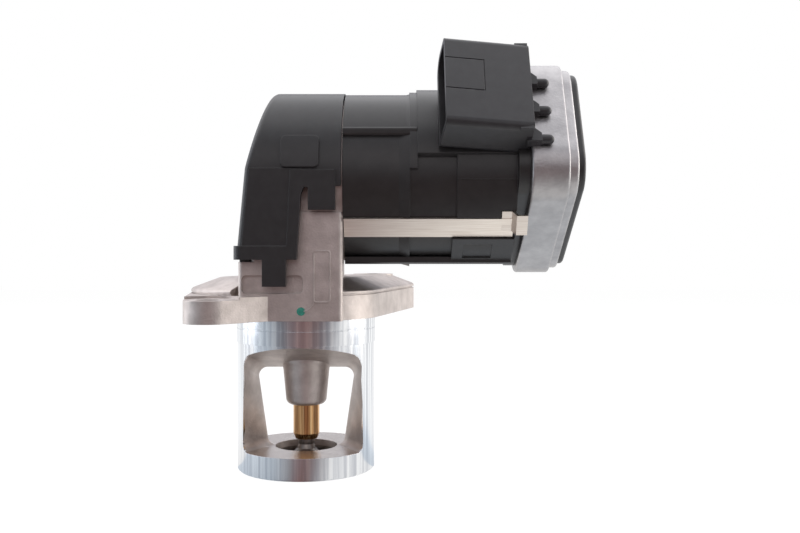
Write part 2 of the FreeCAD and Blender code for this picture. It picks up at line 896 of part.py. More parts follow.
def motor_can():
    """Drawn steel cup round the magnets, with the rear bush in its closed end."""
    inner_r = can_r - can_wall
    cup = tube_x(can_r, inner_r, tower_x1, can_x1)
    end = tube_x(can_r, bush_r + fixed_gap, can_x1 - can_wall, can_x1)
    collar = tube_x(bush_r + collar_t, bush_r + fixed_gap, rear_bush_x0, can_x1)
    return fused([cup, end, collar])


def stator_magnets():
    ring = tube_x(magnet_r, magnet_r - magnet_t, magnet_x0, magnet_x1)
    gap_half = math.radians((180.0 - magnet_span) / 2)
    reach = 2 * magnet_r
    wedge_up = flat_face([
        V(magnet_x0, 0, motor_axis_z),
        V(magnet_x0, -reach * math.sin(gap_half), motor_axis_z + reach * math.cos(gap_half)),
        V(magnet_x0, reach * math.sin(gap_half), motor_axis_z + reach * math.cos(gap_half)),
    ]).extrude(V(magnet_x1 - magnet_x0, 0, 0))
    return ring.cut(wedge_up).cut(about_motor(wedge_up, 180.0))


def screw_places():
    places = []
    for i in range(screw_count):
        angle = math.radians(90.0 + 360.0 * i / screw_count)
        y = screw_circle_r * math.cos(angle)
        places.append((tower_x1, y, motor_axis_z + screw_circle_r * math.sin(angle)))
    return places


def holder_screws():
    """Pan head screws that hold the brush holder to the casting."""
    solids = []
    for x, y, z in screw_places():
        seat_x = x + holder_t
        shank = cyl_x(screw_r, x - screw_depth, seat_x, y, z)
        head = cyl_x(screw_head_r, seat_x, seat_x + screw_head_t, y, z)
        solids.append(shank.fuse(head).removeSplitter())
    return Part.makeCompound(solids)


def arch_x(r, x0, x1, low_z):
    """Half cylinder about the motor axis standing on straight sides."""
    return cyl_x(r, x0, x1).fuse(block(x0, x1, -r, r, low_z, motor_axis_z)).common(
        block(x0, x1, -r, r, low_z, motor_axis_z + r))


def cover_side(inset):
    """Side outline of the drive cover as a solid across Y: upright below, sloping back above."""
    top_z = motor_axis_z + cover_r
    corners = [
        V(cover_x1, 0, cover_lip_z0), V(cover_low_x + inset, 0, cover_lip_z0),
        V(cover_low_x + inset, 0, cover_lip_z1), V(cover_mid_x + inset, 0, cover_mid_z),
        V(cover_top_x + inset, 0, top_z - inset), V(cover_x1, 0, top_z - inset),
    ]
    return flat_face([c - V(0, 2 * cover_r, 0) for c in corners]).extrude(V(0, 4 * cover_r, 0))


def across(corners, y0, y1):
    """Solid across Y from (x, z) corners."""
    return flat_face([V(x, y0, z) for x, z in corners]).extrude(V(0, y1 - y0, 0))


def cover_shell():
    """Arched outside of the drive cover, its slanted end rounded over."""
    shell = arch_x(cover_r, cover_x0, cover_x1, cover_lip_z0).common(cover_side(0.0)).removeSplitter()
    end_edges = [e for e in shell.Edges
                 if e.BoundBox.XMax < cover_top_x + 0.01 and e.BoundBox.ZMax > cover_lip_z1 + 1.0]
    return shell.makeFillet(cover_edge_r, end_edges)


def cover_panels(side):
    """Raised front panel and the bridge over the notch, on one side of the cover."""
    solids = []
    panel = [(cover_low_x + panel_inset, cover_lip_z1 - 1.0), (notch_low_x, cover_lip_z1 - 1.0),
             (notch_mid_x, panel_z1), (cover_mid_x + panel_inset, panel_z1)]
    bridge = [(bridge_low_x, cover_lip_z0), (notch_low_x, cover_lip_z0), (notch_mid_x, notch_mid_z),
              (notch_top_x, notch_z1), (ear_x0, notch_z1), (ear_x0, ear_z0), (ear_x1, ear_z0),
              (ear_x1, bridge_z1), (bridge_top_x, bridge_z1)]
    for corners, proud in ((panel, panel_proud), (bridge, bridge_proud)):
        y = side * (cover_r + proud)
        solids.append(across(corners, y, side * (cover_r - cover_wall)))
    return solids


def drive_cover():
    """Moulded cover over the yoke and crank: arched shell, foot lip, bridged ears and latches."""
    lip = rounded_post_z(cover_x0, notch_low_x, -cover_r - lip_proud, cover_r + lip_proud, cover_lip_z0,
                         cover_lip_z1, lip_corner_r)
    inner_r = cover_r - cover_wall
    inner = arch_x(inner_r, cover_x0, cover_x1, cover_lip_z0 - 1.0).common(cover_side(cover_wall).fuse(
        block(cover_low_x + cover_wall, cover_x1, -inner_r, inner_r, cover_lip_z0 - 1.0, cover_lip_z0 + 1.0)))
    notch = across([(notch_low_x, cover_lip_z0 - 1.0), (notch_low_x, cover_lip_z0),
                    (notch_mid_x, notch_mid_z), (notch_top_x, notch_z1), (ear_x0, notch_z1),
                    (ear_x0, back_edge_z),
                    (cover_x1 + 1.0, back_edge_z), (cover_x1 + 1.0, cover_lip_z0 - 1.0)],
                   -2 * cover_r, 2 * cover_r)
    body = fused([cover_shell(), lip]).cut(notch)
    body = fused([body, cover_bump()] + cover_panels(-1) + cover_panels(1)).cut(inner)
    front = -cover_r - bridge_proud
    body = body.fuse(block(latch_x0, latch_x1, front, front + latch_t, latch_z, cover_lip_z0 + 1.0))
    back_z = plateau_top_z + face_gap
    body = body.fuse(block(latch_x0, latch_x1, -front - latch_t, -front, back_z, cover_lip_z0 + 1.0))
    return body.removeSplitter()


def cover_bump():
    """Cushion-shaped pad on the front of the arch."""
    outer_r = cover_r + bump_proud
    sector = cyl_x(outer_r, bump_x0, bump_x1)
    frame = rounded_plate_y(bump_x0, bump_x1, bump_z0, bump_z1, -outer_r, -cover_r / 2, bump_corner_r)
    return sector.common(frame)


def cover_gasket():
    """Flat gasket between the foot of the cover and the ledge of the casting."""
    side = tower_half_y - gasket_side
    outer = rounded_post_z(tower_x0 + gasket_edge, notch_low_x, -side, side, ledge_z, ledge_z + gasket_t,
                           tower_corner_r)
    inner = block(tower_neck_x0 - gasket_side, notch_low_x, -tower_half_y, tower_half_y,
                  ledge_z, ledge_z + gasket_t)
    return outer.cut(inner)


def plug_radii(grow):
    """Corner radii of the connector's section, the largest where its top turns to its back."""
    return [plug_corner_r + grow, plug_corner_r + grow, plug_back_r + grow, plug_corner_r + grow]


def plug_envelope(grow):
    """Outer form of the connector, leaning out from the motor towards its mouth."""
    reach = plug_half_t + grow
    bar = rounded_bar_x(plug_x1 - plug_length, plug_x1 + grow, -plug_v - reach, -plug_v + reach,
                        motor_axis_z + plug_low - grow, motor_axis_z + plug_high + grow, *plug_radii(grow))
    return leaned(bar)


def leaned(shape):
    leaning = shape.copy()
    leaning.rotate(V(plug_x1, -plug_v, 0), V(0, 0, 1), plug_tilt)
    return about_motor(leaning, facet_tilt)


def housing_saddle():
    """Thicker sector of the motor housing that carries the connector."""
    reach = saddle_r + 1.0
    sector = cyl_x(saddle_r, saddle_x0, housing_x1).common(
        block(saddle_x0, housing_x1, -reach, 0.0, motor_axis_z + saddle_low, motor_axis_z + saddle_high))
    return about_motor(sector, facet_tilt)


def housing_clip():
    """Flat snap plate low on the front, with a window and its wedge."""
    z = motor_axis_z
    face = -housing_r - clip_t
    floor = -housing_r + clip_window_depth
    plate = block(clip_x0, clip_x1, face, -housing_r + clip_root, z - clip_half_width, z + clip_half_width)
    window = block(clip_window_x0, clip_window_x1, face - 1.0, floor,
                   z - clip_window_half, z + clip_window_half)
    wedge_corners = [V(clip_window_x0, floor, 0), V(wedge_x1, floor, 0),
                     V(clip_window_x0, -housing_r - clip_t * clip_wedge_share, 0)]
    wedge = flat_face([c + V(0, 0, z - clip_window_half) for c in wedge_corners]).extrude(
        V(0, 0, 2 * clip_window_half))
    return about_motor(plate.cut(window).fuse(wedge), -clip_angle)


def housing_crown():
    """Thicker top of the housing beside the casting, edged by a rail, a rib and a tapered band."""
    z = motor_axis_z
    crown = cyl_x(crown_r, housing_left_x, crown_x1).common(
        block(housing_left_x, crown_x1, -crown_r, crown_back_y, z + crown_low, z + crown_r))
    rail = rounded_bar_x(housing_left_x, rail_x1, -rail_y, -rail_y + rail_t, rail_z0, rail_z1, rail_corner_r)
    rib = cyl_x(housing_r + rib_step, rib_x0, rib_x1).common(
        block(rib_x0, rib_x1, -housing_r - rib_step, crown_back_y, z + rib_low, z + housing_r + rib_step))
    taper = Part.makeCone(housing_r, housing_r + band_step, rib_x0 - band_x0, V(band_x0, 0, z), V(1, 0, 0))
    return [crown, rail, rib, taper]


def lower_pads():
    """Two stepped sectors low on the front, where the housing meets its snap plate."""
    z = motor_axis_z
    reach = housing_r + lower_pad_step
    upper = cyl_x(reach, lower_pad_x0, housing_x1).common(
        block(lower_pad_x0, housing_x1, -reach, 0.0, z + lower_pad_mid, z + lower_pad_high))
    lower = cyl_x(housing_r + lower_pad_thin, lower_pad_x0, housing_x1).common(
        block(lower_pad_x0, housing_x1, -reach, 0.0, z - housing_r, z + lower_pad_mid))
    return [upper, lower]


def motor_housing():
    """Moulded shell of the motor from the casting to the end cap."""
    x0 = housing_left_x
    neck = facet_bar(housing_x1, cap_x0, cap_half_length - neck_inset, cap_below - neck_inset,
                     cap_above - neck_inset, cap_corner_r - neck_inset)
    foot = cyl_x(housing_r + foot_rail_t, x0, can_x1).common(
        block(x0, can_x1, -foot_rail_half, foot_rail_half, foot_rail_z0, foot_rail_z0 + foot_rail_t))
    barrel = cyl_x(housing_r, x0, housing_x1)
    body = fused([barrel, housing_saddle(), neck, housing_clip(), foot] + housing_crown() + lower_pads())
    body = body.cut(cyl_x(can_r + fixed_gap, x0 - 1.0, can_x1))
    body = body.cut(cyl_x(bush_r + bush_clear, can_x1 - 1.0, cap_x0 + 1.0))
    for channel in strap_channels():
        body = body.cut(channel)
    return body.cut(plug_envelope(fixed_gap)).cut(plug_bridge(fixed_gap))


def plug_bridge(grow):
    """Block behind the connector that joins it to the neck of the housing."""
    v0 = cap_half_length - bridge_root - grow
    v1 = plug_v + bridge_end + grow
    upright = block(bridge_x0 - grow, bridge_x1 + grow, -v1, -v0, motor_axis_z + plug_low - grow,
                    motor_axis_z + plug_high + grow)
    return about_motor(upright, facet_tilt)


def connector_fins():
    """Tapered fins that run from the back of the connector down to round pegs on the end cap."""
    solids = []
    x0 = plug_x1 - fin_root
    x1 = peg_x - peg_length
    for i in range(fin_count):
        z = motor_axis_z + fin_first + fin_pitch * i
        corners = [V(x0, -cap_half_length, z - fin_half), V(x1, -cap_half_length, z - fin_half),
                   V(x1, -cap_half_length, z + fin_half), V(x0, -cap_half_length, z + fin_half + fin_rise)]
        fin = flat_face(corners).extrude(V(0, -2 * peg_r, 0))
        peg = cyl_x(peg_r, x1 - peg_root, peg_x, -cap_half_length - peg_r, z)
        nose = Part.makeSphere(peg_r, V(peg_x, -cap_half_length - peg_r, z))
        solids.append(about_motor(fused([fin, peg, nose]), facet_tilt))
    return solids


def key_groove_cut():
    """Shallow U-shaped line on the broad face of the connector, open at its mouth."""
    x0 = plug_x1 - plug_length - 1.0
    x1 = plug_x1 - plug_length + key_groove_x
    y0 = -plug_v - plug_half_t - 1.0
    y1 = -plug_v - plug_half_t + key_groove_depth
    outer = block(x0, x1, y0, y1, motor_axis_z + key_groove_low, motor_axis_z + key_groove_high)
    inner = block(x0, x1 - key_groove, y0, y1, motor_axis_z + key_groove_low + key_groove,
                  motor_axis_z + key_groove_high - key_groove)
    return leaned(outer.cut(inner))


def plug_cavity():
    bar = rounded_bar_x(plug_x1 - plug_length - 1.0, plug_x1 - plug_length + plug_depth,
                        -plug_v - plug_half_t + plug_wall, -plug_v + plug_half_t - plug_wall,
                        motor_axis_z + plug_low + plug_wall, motor_axis_z + plug_high - plug_wall,
                        *plug_radii(-plug_wall))
    return leaned(bar)


def connector_shell():
    """Socket shell with its fins, open towards the valve side."""
    shell = fused([plug_envelope(0.0), plug_bridge(0.0)] + connector_fins()).cut(plug_cavity())
    shell = shell.cut(key_groove_cut())
    for pin in plug_pins():
        shell = shell.cut(pin)
    return shell


def plug_pins():
    pins = []
    floor_x = plug_x1 - plug_length + plug_depth
    middle = (plug_low + plug_high) / 2
    for i in range(pin_count):
        z = motor_axis_z + middle + pin_pitch * (i - (pin_count - 1) / 2)
        pin = block(floor_x - pin_length + pin_root, floor_x + pin_root, -plug_v - pin_height / 2,
                    -plug_v + pin_height / 2, z - pin_width, z + pin_width)
        pins.append(leaned(pin))
    return pins


def edges_at(solid, x):
    return [e for e in solid.Edges if all(abs(v.X - x) < 0.01 for v in e.Vertexes)]


def end_cap():
    """Cast cap with a stepped rim, hollow for the sensor board."""
    body = facet_bar(cap_x0, cap_x1, cap_half_length, cap_below, cap_above, cap_corner_r)
    body = body.makeFillet(cap_edge, edges_at(body, cap_x0) + edges_at(body, cap_x1))
    rim = facet_bar(cap_x1 - cap_edge, cap_rim_x1, cap_half_length - cap_rim_inset, cap_below - cap_rim_inset,
                    cap_above - cap_rim_inset, cap_corner_r - cap_rim_inset)
    rim = rim.makeFillet(cap_edge, edges_at(rim, cap_rim_x1))
    inset = lid_inset + lid_plug
    hollow = facet_bar(cap_x0 + cap_front_wall, cap_rim_x1, cap_half_length - inset, cap_below - inset,
                       cap_above - inset, cap_corner_r - inset)
    return body.fuse(rim).cut(hollow).cut(cyl_x(bush_r, cap_x0, cap_x0 + cap_front_wall))


def lid_ring(x0, x1):
    """Ring inside the rim of the cap, as the lid's plug and its seal share it."""
    outer = lid_inset + lid_plug + fixed_gap
    inner = outer + lid_plug_wall
    return facet_bar(x0, x1, cap_half_length - outer, cap_below - outer, cap_above - outer,
                     cap_corner_r - outer).cut(
        facet_bar(x0, x1, cap_half_length - inner, cap_below - inner, cap_above - inner,
                  cap_corner_r - inner))


def end_lid():
    plate = facet_bar(cap_rim_x1, lid_x1, cap_half_length - lid_inset, cap_below - lid_inset,
                      cap_above - lid_inset, cap_corner_r - lid_inset)
    plate = plate.makeFillet(lid_fillet, edges_at(plate, lid_x1))
    return plate.fuse(lid_ring(cap_rim_x1 - lid_plug, cap_rim_x1)).removeSplitter()


def lid_seal():
    """Flat seal pressed on the lid's plug, against the inner face of the rim."""
    x1 = cap_rim_x1 - lid_plug
    return lid_ring(x1 - lid_seal_r, x1)


def sensor_board():
    """Round-cornered circuit board with the angle sensor facing the shaft's magnet."""
    inset = lid_inset + lid_plug + fixed_gap
    board = facet_bar(board_x0, board_x0 + board_t, cap_half_length - inset, cap_below - inset,
                      cap_above - inset, cap_corner_r - inset)
    chip = block(board_x0 - chip_t, board_x0, -chip_half, chip_half, motor_axis_z - chip_half,
                 motor_axis_z + chip_half)
    return board.fuse(chip)


def sensor_magnet():
    return cyl_x(magnet_disc_r, shaft_x1, shaft_x1 + magnet_disc_t)


def placed_strap(shape, turn, side):
    """The front strap low on the near side, the rear one opposite; the turn lifts either one."""
    return about_motor(shape, turn - strap_angle if side < 0 else 180.0 - strap_angle - turn)


def retaining_strap(side):
    """Flat spring strap from the casting to the neck, with a raised hook set off to one side."""
    y = -housing_r
    z = motor_axis_z - strap_width / 2
    band = block(strap_x0, strap_x1, y - strap_t, y, z, z + strap_width)
    outline = [
        V(strap_x1 - hook_root, y, z), V(strap_x1, y, z), V(housing_x1 + hook_bend, y - hook_rise, z),
        V(hook_x1, y - hook_rise, z), V(hook_x1, y - hook_rise - strap_t, z),
        V(housing_x1 - hook_bend, y - hook_rise - strap_t, z), V(strap_x1 - 2 * hook_bend, y - strap_t, z),
        V(strap_x1 - hook_root, y - strap_t, z),
    ]
    hook = flat_face(outline).extrude(V(0, 0, strap_width))
    return fused([placed_strap(band, 0.0, side), placed_strap(hook, hook_turn, side)])


def strap_channels():
    """Room for both straps through everything that stands proud of the housing's barrel."""
    half = strap_width / 2 + face_gap
    z = motor_axis_z
    solids = []
    for x0, turn in ((strap_x0, 0.0), (strap_x1 - hook_root, hook_turn)):
        channel = block(x0 - face_gap, housing_x1, -cap_half_length, -housing_r, z - half, z + half)
        solids += [placed_strap(channel, turn, -1), placed_strap(channel, turn, 1)]
    return solids


def connector_pins():
    return Part.makeCompound(plug_pins())


def save(name, shape):
    shape.exportStep(os.path.join("parts", name + ".step"))
    print(name, "solids", len(shape.Solids), "valid", shape.isValid())


os.makedirs("parts", exist_ok=True)
save("valve_housing", valve_housing())
save("seat_ring", seat_ring())
save("stem_guide", stem_guide())
save("stem_seal", stem_seal())
save("spring_seat", spring_seat())
save("return_spring", return_spring())
save("drive_cover", drive_cover())
save("cover_gasket", cover_gasket())
save("motor_housing", motor_housing())
save("connector_shell", connector_shell())
save("connector_pins", connector_pins())
save("motor_can", motor_can())
save("stator_magnets", stator_magnets())
save("brush_holder", brush_holder())
save("carbon_brushes", carbon_brushes())
save("holder_screws", holder_screws())
save("front_bush", bush(plate_x0, tower_x1))
save("rear_bush", bush(rear_bush_x0, rear_bush_x1))
save("retaining_strap_front", retaining_strap(-1))
save("retaining_strap_rear", retaining_strap(1))
save("end_cap", end_cap())
save("end_lid", end_lid())
save("lid_seal", lid_seal())
save("sensor_board", sensor_board())
save("motor_shaft", motor_shaft())
save("crank", crank())
save("roller_clip", roller_clip())
save("armature_core", armature_core())
save("armature_windings", armature_windings())
save("commutator", commutator())
save("sensor_magnet", sensor_magnet())
save("drive_roller", drive_roller())
save("poppet_valve", poppet_valve())
save("stem_yoke", stem_yoke())
save("spring_retainer", spring_retainer())
save("stem_collets", stem_collets())
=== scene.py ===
import math

import bmesh
import bpy
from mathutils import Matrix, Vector


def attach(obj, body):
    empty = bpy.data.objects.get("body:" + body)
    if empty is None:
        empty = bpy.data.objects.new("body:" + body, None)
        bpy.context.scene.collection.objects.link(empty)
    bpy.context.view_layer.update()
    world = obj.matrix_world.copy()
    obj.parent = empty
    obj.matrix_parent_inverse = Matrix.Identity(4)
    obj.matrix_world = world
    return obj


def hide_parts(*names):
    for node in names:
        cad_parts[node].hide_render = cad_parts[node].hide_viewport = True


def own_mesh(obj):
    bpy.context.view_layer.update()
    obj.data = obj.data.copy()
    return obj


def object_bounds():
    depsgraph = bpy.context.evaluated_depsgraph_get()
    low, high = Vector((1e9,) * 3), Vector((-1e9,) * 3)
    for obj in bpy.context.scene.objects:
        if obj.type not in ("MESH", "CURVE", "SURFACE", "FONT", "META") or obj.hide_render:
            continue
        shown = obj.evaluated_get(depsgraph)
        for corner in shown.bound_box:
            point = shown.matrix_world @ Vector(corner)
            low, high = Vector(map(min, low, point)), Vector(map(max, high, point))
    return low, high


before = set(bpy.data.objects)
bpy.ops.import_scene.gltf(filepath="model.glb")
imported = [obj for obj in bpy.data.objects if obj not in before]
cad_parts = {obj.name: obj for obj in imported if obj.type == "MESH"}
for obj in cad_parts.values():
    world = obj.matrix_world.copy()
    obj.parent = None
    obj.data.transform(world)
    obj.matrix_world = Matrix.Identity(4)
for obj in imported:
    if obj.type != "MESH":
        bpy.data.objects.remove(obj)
cad_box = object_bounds()
mm = 0.001

# Camera: the photograph's low side view, level with the motor, from about 0.36 m in front of the valve stem.
# A vertical shift keeps the upright edges parallel, as they are in the photograph.
camera_place = (34.6 * mm, -358.9 * mm, 24.4 * mm)
focal_pixels = 970.0
frame_pixels = 800.0
sensor_mm = 36.0
horizon_rise_pixels = 16.5
camera_data = bpy.data.cameras.new("camera")
camera_data.sensor_width = sensor_mm
camera_data.lens = focal_pixels / frame_pixels * sensor_mm
camera_data.shift_y = -horizon_rise_pixels / frame_pixels
camera = bpy.data.objects.new("camera", camera_data)
camera.location = camera_place
camera.rotation_euler = (math.radians(90.0), 0.0, 0.0)
bpy.context.scene.collection.objects.link(camera)
bpy.context.scene.camera = camera


# Studio: a white table and a white surround, with soft lights above and to both sides. Mirrors also see the
# darker room in front, where the photographer stands: reddish in the middle and bluish towards the left.
def linear(hex_colour):
    """Linear RGBA of an sRGB hex colour such as "8a8f94"."""
    values = [int(hex_colour[i:i + 2], 16) / 255.0 for i in (0, 2, 4)]
    return tuple(v / 12.92 if v <= 0.04045 else ((v + 0.055) / 1.055) ** 2.4 for v in values) + (1.0,)


def add_node(tree, kind, settings=None, links=None):
    """Adds a shader node, sets its properties and input values, and links its inputs."""
    node = tree.nodes.new(kind)
    for name, value in (settings or {}).items():
        if isinstance(name, str) and hasattr(node, name):
            setattr(node, name, value)
        else:
            node.inputs[name].default_value = value
    for name, output in (links or {}).items():
        tree.links.new(output, node.inputs[name])
    return node


def set_stops(ramp, stops):
    """Gives a colour ramp its stops, each a place from 0 to 1 and a hex colour."""
    while len(ramp.color_ramp.elements) < len(stops):
        ramp.color_ramp.elements.new(1.0)
    for element, (place, colour) in zip(ramp.color_ramp.elements, stops):
        element.position = place
        element.color = linear(colour)


def blank_material(name):
    """An empty node material and its tree."""
    material = bpy.data.materials.new(name)
    material.use_nodes = True
    material.node_tree.nodes.clear()
    return material, material.node_tree


def room_round(tree, x_output, y_output, widening):
    """Colour of the room in each direction round the object: the photographer stands at 0 degrees, and the
    photograph's right is 90. The dark front is narrower within about the widening's distance."""
    ahead = add_node(tree, "ShaderNodeMath", {"operation": "MULTIPLY", 1: -1.0}, {0: y_output})
    slope = add_node(tree, "ShaderNodeMath", {"operation": "DIVIDE"}, {0: x_output, 1: ahead.outputs[0]})
    side = add_node(tree, "ShaderNodeMath", {"operation": "MULTIPLY_ADD", 1: widening},
                    {0: slope.outputs[0], 2: x_output})
    turn = add_node(tree, "ShaderNodeMath", {"operation": "ARCTAN2"},
                    {0: side.outputs[0], 1: ahead.outputs[0]})
    share = add_node(tree, "ShaderNodeMapRange", {"From Min": -math.pi, "From Max": math.pi},
                     {"Value": turn.outputs[0]})
    ramp = add_node(tree, "ShaderNodeValToRGB", None, {"Fac": share.outputs["Result"]})
    seen_at = {-180: "ffffff", -125: "f6f8fa", -105: "dde5ee", -68: "b8c1ca", -50: "989ba2", -37: "76757a",
               -22: "7c686a", 0: "7c5652", 24: "7c6462", 38: "7f767a", 54: "b4b2b4", 68: "f6f5f4",
               180: "ffffff"}
    set_stops(ramp, [((degrees + 180.0) / 360.0, colour) for degrees, colour in seen_at.items()])
    return ramp.outputs["Color"]


bpy.context.scene.view_settings.view_transform = "Standard"

# Each soft box has its place, width and height in metres, its watts and its colour.
soft_boxes = {
    "top_light": ((0.03, 0.15, 0.60), 1.6, 1.0, 5.8, "ffffff"),
    "left_light": ((-0.62, 0.10, 0.22), 0.5, 0.6, 1.6, "f4f8ff"),
    "right_light": ((0.70, 0.10, 0.20), 0.5, 0.6, 2.9, "fffaf4"),
    "front_light": ((0.03, -0.70, 0.42), 0.9, 0.35, 0.5, "fff2ea"),
}
lit_point = Vector((0.03, 0.0, 0.03))
for name, (place, width, height, watts, colour) in soft_boxes.items():
    box_data = bpy.data.lights.new(name, "AREA")
    box_data.shape = "RECTANGLE"
    box_data.size = width
    box_data.size_y = height
    box_data.energy = watts
    box_data.color = linear(colour)[:3]
    soft_box = bpy.data.objects.new(name, box_data)
    soft_box.location = place
    soft_box.rotation_euler = (lit_point - Vector(place)).to_track_quat("-Z", "Y").to_euler()
    bpy.context.scene.collection.objects.link(soft_box)

# The surround: mirrors see the room up to the top of its walls and a pale ceiling above, and matt skins an
# even grey light.
wall_top = 0.03
ceiling_start = 0.22
ceiling = "c2c2ca"
diffuse_grey = "a8a8a8"
world = bpy.data.worlds.new("white_studio")
world.use_nodes = True
tree = world.node_tree
tree.nodes.clear()
path = add_node(tree, "ShaderNodeLightPath")
coords = add_node(tree, "ShaderNodeTexCoord")
apart = add_node(tree, "ShaderNodeSeparateXYZ", None, {"Vector": coords.outputs["Generated"]})
room = room_round(tree, apart.outputs["X"], apart.outputs["Y"], 0.0)
high = add_node(tree, "ShaderNodeMapRange",
                {"From Min": wall_top, "From Max": ceiling_start, "interpolation_type": "SMOOTHSTEP"},
                {"Value": apart.outputs["Z"]})
mirrored = add_node(tree, "ShaderNodeMix", {"data_type": "RGBA", 7: linear(ceiling)},
                    {0: high.outputs["Result"], 6: room})
lit = add_node(tree, "ShaderNodeMix", {"data_type": "RGBA", 6: linear(diffuse_grey)},
               {0: path.outputs["Is Glossy Ray"], 7: mirrored.outputs[2]})
clear = add_node(tree, "ShaderNodeMath", {"operation": "MAXIMUM"},
                 {0: path.outputs["Is Camera Ray"], 1: path.outputs["Is Transmission Ray"]})
shown = add_node(tree, "ShaderNodeMix", {"data_type": "RGBA", 7: linear("ffffff")},
                 {0: clear.outputs[0], 6: lit.outputs[2]})
background = add_node(tree, "ShaderNodeBackground", {"Strength": 1.0}, {"Color": shown.outputs[2]})
add_node(tree, "ShaderNodeOutputWorld", None, {"Surface": background.outputs["Background"]})
bpy.context.scene.world = world

table_half = 1.6
table_z = cad_box[0].z
bpy.ops.object.select_all(action="DESELECT")
bpy.ops.mesh.primitive_plane_add(size=2 * table_half, location=(0.0, 0.0, table_z))
table = bpy.context.active_object
table.name = "white_table"
bpy.ops.object.transform_apply(location=True, rotation=True, scale=True)
# White paper: matt, and near pure white where the camera sees it, with only a faint shadow left. Mirrors see
# it with the same dark front as the room.
front_widening = 80.0 * mm
paper_white = "f0f0f0"
paper_where_seen = "5a5a5a"
paper_glow = 0.95
paper, tree = blank_material("white_paper")
path = add_node(tree, "ShaderNodeLightPath")
coords = add_node(tree, "ShaderNodeTexCoord")
apart = add_node(tree, "ShaderNodeSeparateXYZ", None, {"Vector": coords.outputs["Object"]})
room = room_round(tree, apart.outputs["X"], apart.outputs["Y"], front_widening)
seen = add_node(tree, "ShaderNodeMath", {"operation": "MAXIMUM"},
                {0: path.outputs["Is Camera Ray"], 1: path.outputs["Is Glossy Ray"]})
seen_too = add_node(tree, "ShaderNodeMath", {"operation": "MAXIMUM"},
                    {0: seen.outputs[0], 1: path.outputs["Is Transmission Ray"]})
sheet_colour = add_node(tree, "ShaderNodeMix",
                        {"data_type": "RGBA", 6: linear(paper_white), 7: linear(paper_where_seen)},
                        {0: seen_too.outputs[0]})
sheet = add_node(tree, "ShaderNodeBsdfDiffuse", None, {"Color": sheet_colour.outputs[2]})
glow_colour = add_node(tree, "ShaderNodeMix", {"data_type": "RGBA", 6: linear("ffffff")},
                       {0: path.outputs["Is Glossy Ray"], 7: room})
lift = add_node(tree, "ShaderNodeMath", {"operation": "MULTIPLY", 1: paper_glow}, {0: seen_too.outputs[0]})
glow = add_node(tree, "ShaderNodeEmission", None,
                {"Color": glow_colour.outputs[2], "Strength": lift.outputs[0]})
both = add_node(tree, "ShaderNodeAddShader", None, {0: sheet.outputs[0], 1: glow.outputs[0]})
add_node(tree, "ShaderNodeOutputMaterial", None, {"Surface": both.outputs[0]})
table.data.materials.append(paper)


# Valve housing: one die cast aluminium block with the flange, the gas cage and the tower of the drive. Its skin
# is matt and grainy, the spigot and the flange's underside are turned bright, and the cage floor is milled and
# painted lighter, which is painted light lifting the shade inside the cage.
def smooth_copy(node, name, sharp_degrees):
    """A copy of a CAD piece with its mesh merged, smooth over edges that turn by less than this angle."""
    merge_distance = 0.004 * mm
    bpy.ops.object.select_all(action="DESELECT")
    piece = bpy.data.objects.new(name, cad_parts[node].data.copy())
    bpy.context.scene.collection.objects.link(piece)
    piece.select_set(True)
    bpy.context.view_layer.objects.active = piece
    bpy.ops.mesh.customdata_custom_splitnormals_clear()
    bpy.ops.object.mode_set(mode="EDIT")
    bpy.ops.mesh.select_all(action="SELECT")
    bpy.ops.mesh.remove_doubles(threshold=merge_distance)
    bpy.ops.object.mode_set(mode="OBJECT")
    bpy.ops.object.shade_smooth_by_angle(angle=math.radians(sharp_degrees))
    piece.data.materials.clear()
    return piece


def grain(tree, size_mm, depth_mm, edge_mm, detail=3.0):
    """Bump of an uneven skin whose grains are this wide and deep, on edges worn round by this much."""
    coords = add_node(tree, "ShaderNodeTexCoord")
    noise = add_node(tree, "ShaderNodeTexNoise", {"Scale": 1.0 / (size_mm * mm), "Detail": detail},
                     {"Vector": coords.outputs["Object"]})
    worn = add_node(tree, "ShaderNodeBevel", {"samples": 4, "Radius": edge_mm * mm})
    return add_node(tree, "ShaderNodeBump", {"Strength": 1.0, "Distance": depth_mm * mm},
                    {"Height": noise.outputs["Fac"], "Normal": worn.outputs["Normal"]})


def mottled(tree, size_mm, dark, light):
    """Colour that drifts between two hex colours in patches of this size."""
    coords = add_node(tree, "ShaderNodeTexCoord")
    noise = add_node(tree, "ShaderNodeTexNoise",
                     {"Scale": 1.0 / (size_mm * mm), "Detail": 4.0, "Roughness": 0.6},
                     {"Vector": coords.outputs["Object"]})
    ramp = add_node(tree, "ShaderNodeValToRGB", None, {"Fac": noise.outputs["Fac"]})
    set_stops(ramp, [(0.3, dark), (0.7, light)])
    return ramp.outputs["Color"]


def cast_aluminium(name, dark, light, roughness, grain_mm):
    """Die cast aluminium, blasted: a matt warm grey metal with a sandy grain and faint drifting stains. The
    real grain is about 0.2 mm, too fine for the render, and is drawn a few times as coarse."""
    material, tree = blank_material(name)
    skin = add_node(tree, "ShaderNodeBsdfPrincipled", {"Metallic": 1.0, "Roughness": roughness},
                    {"Base Color": mottled(tree, 6.0, dark, light),
                     "Normal": grain(tree, grain_mm, 0.09, 0.3, detail=6.0).outputs["Normal"]})
    add_node(tree, "ShaderNodeOutputMaterial", None, {"Surface": skin.outputs["BSDF"]})
    return material


wave_repeat = math.pi / 10.0  # metres between the bands of a wave texture of scale 1 that run square to an axis


